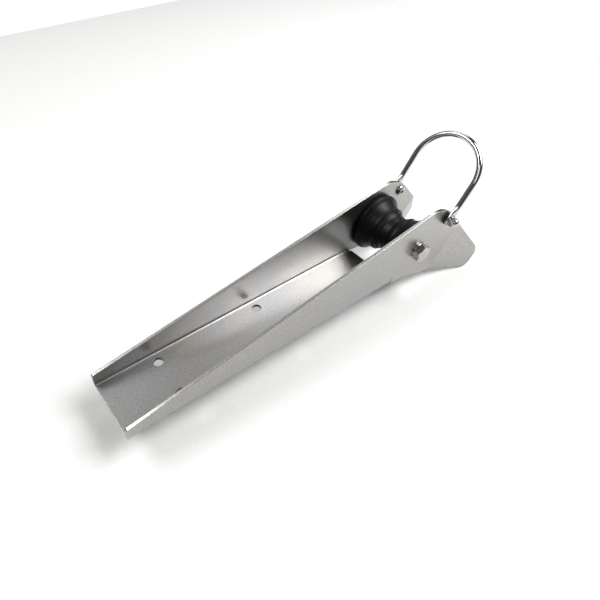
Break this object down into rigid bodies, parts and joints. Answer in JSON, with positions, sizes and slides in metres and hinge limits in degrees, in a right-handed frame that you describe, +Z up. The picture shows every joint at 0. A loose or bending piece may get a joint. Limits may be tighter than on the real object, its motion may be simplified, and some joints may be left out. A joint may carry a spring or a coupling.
{
  "type": "bow roller",
  "caption": "Folded stainless channel with a black spool roller between flared front cheeks and a round-bar bail hinged above it.",
  "frame": {"origin": "underside of the base plate, midway between the four deck holes", "axes": "+X forward along the channel to the roller, +Y to port, +Z up away from the deck"},
  "size_m": [0.4207, 0.0982, 0.1437],
  "materials": {
    "satin_steel": "fine satin grain along the channel, edges eased and bright",
    "bright_steel": "smooth bright steel, as turned",
    "polished_steel": "mirror polish",
    "rubber": "black moulded rubber, half matt",
    "black_nylon": "black nylon, matt",
    "pale_nylon": "natural nylon, matt"
  },
  "bodies": {
    "frame": {"channel": "satin_steel", "thrust_washer_starboard": "pale_nylon", "thrust_washer_port": "pale_nylon", "axle_washer_starboard": "bright_steel", "axle_washer_port": "bright_steel", "axle_bolt": "bright_steel", "axle_nut": "bright_steel", "axle_nut_ring": "pale_nylon", "bail_spacer_starboard": "black_nylon", "bail_spacer_port": "black_nylon", "bail_washer_starboard": "bright_steel", "bail_washer_port": "bright_steel", "bail_screw_starboard": "bright_steel", "bail_screw_port": "bright_steel", "bail_nut_starboard": "polished_steel", "bail_nut_port": "polished_steel"},
    "roller": {"roller": "rubber", "roller_bush": "pale_nylon"},
    "bail": {"bail": "polished_steel"}
  },
  "joints": [
    {"name": "roller_spin", "type": "hinge", "parent": "frame", "child": "roller", "pos_m": [0.22, 0, 0.028], "axis": [0, 1, 0], "continuous": true},
    {"name": "bail_swing", "type": "hinge", "parent": "frame", "child": "bail", "pos_m": [0.256, 0, 0.0525], "axis": [0, 1, 0], "range_deg": [-104, 89]}
  ]
}
